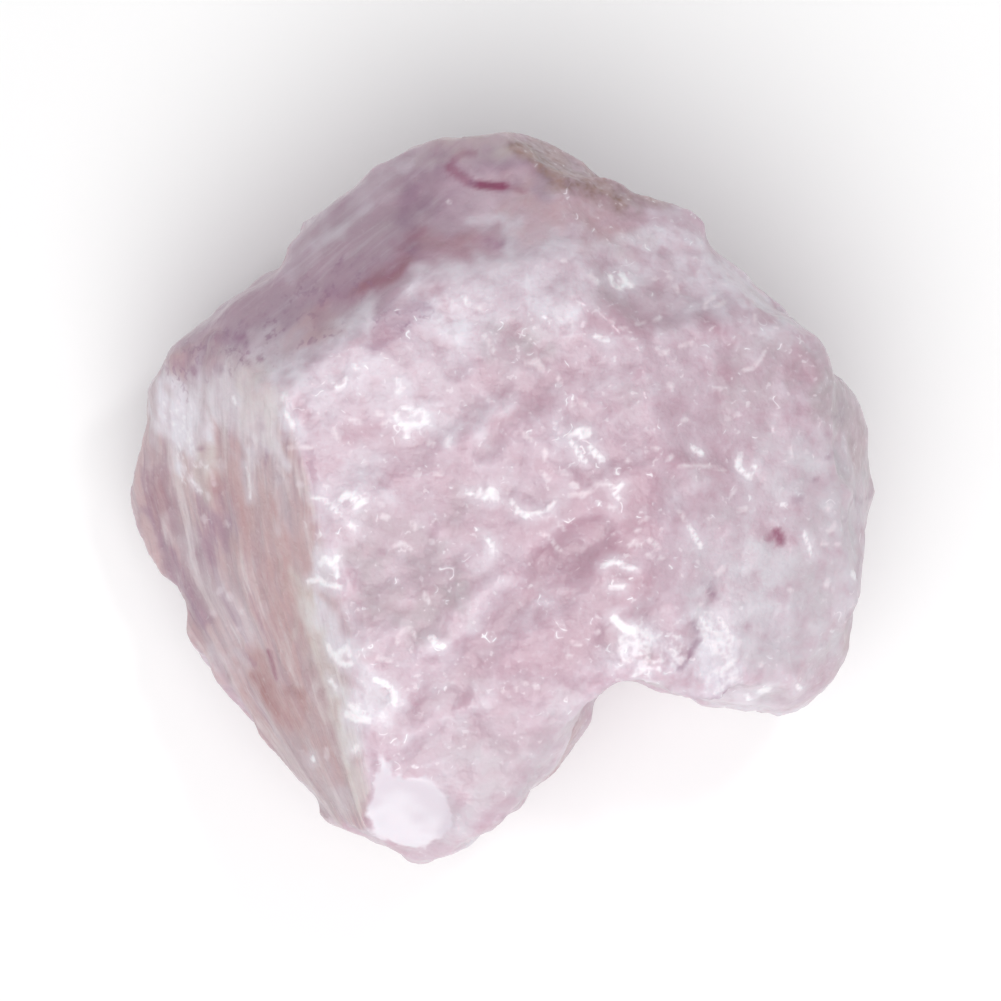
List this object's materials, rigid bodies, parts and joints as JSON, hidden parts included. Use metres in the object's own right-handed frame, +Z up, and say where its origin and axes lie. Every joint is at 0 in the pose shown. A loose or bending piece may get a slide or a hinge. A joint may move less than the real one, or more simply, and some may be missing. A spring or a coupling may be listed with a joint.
{
  "type": "rough petalite stone",
  "caption": "Rough petalite: a broken block of pale pink petalite with flat cleavage faces, chipped edges and splintered walls, lying on a flat face.",
  "frame": {"origin": "on the surface that the stone rests on, under the middle of its bounding box", "axes": "+Z up, out of the best face; +X to the right and +Y away when that face is looked down on, with the notch at the -Y side"},
  "size_m": [0.044, 0.0424, 0.0256],
  "materials": {
    "petalite": "broken, waxy to glassy"
  },
  "bodies": {
    "root": {"petalite_block": "petalite"}
  },
  "joints": []
}
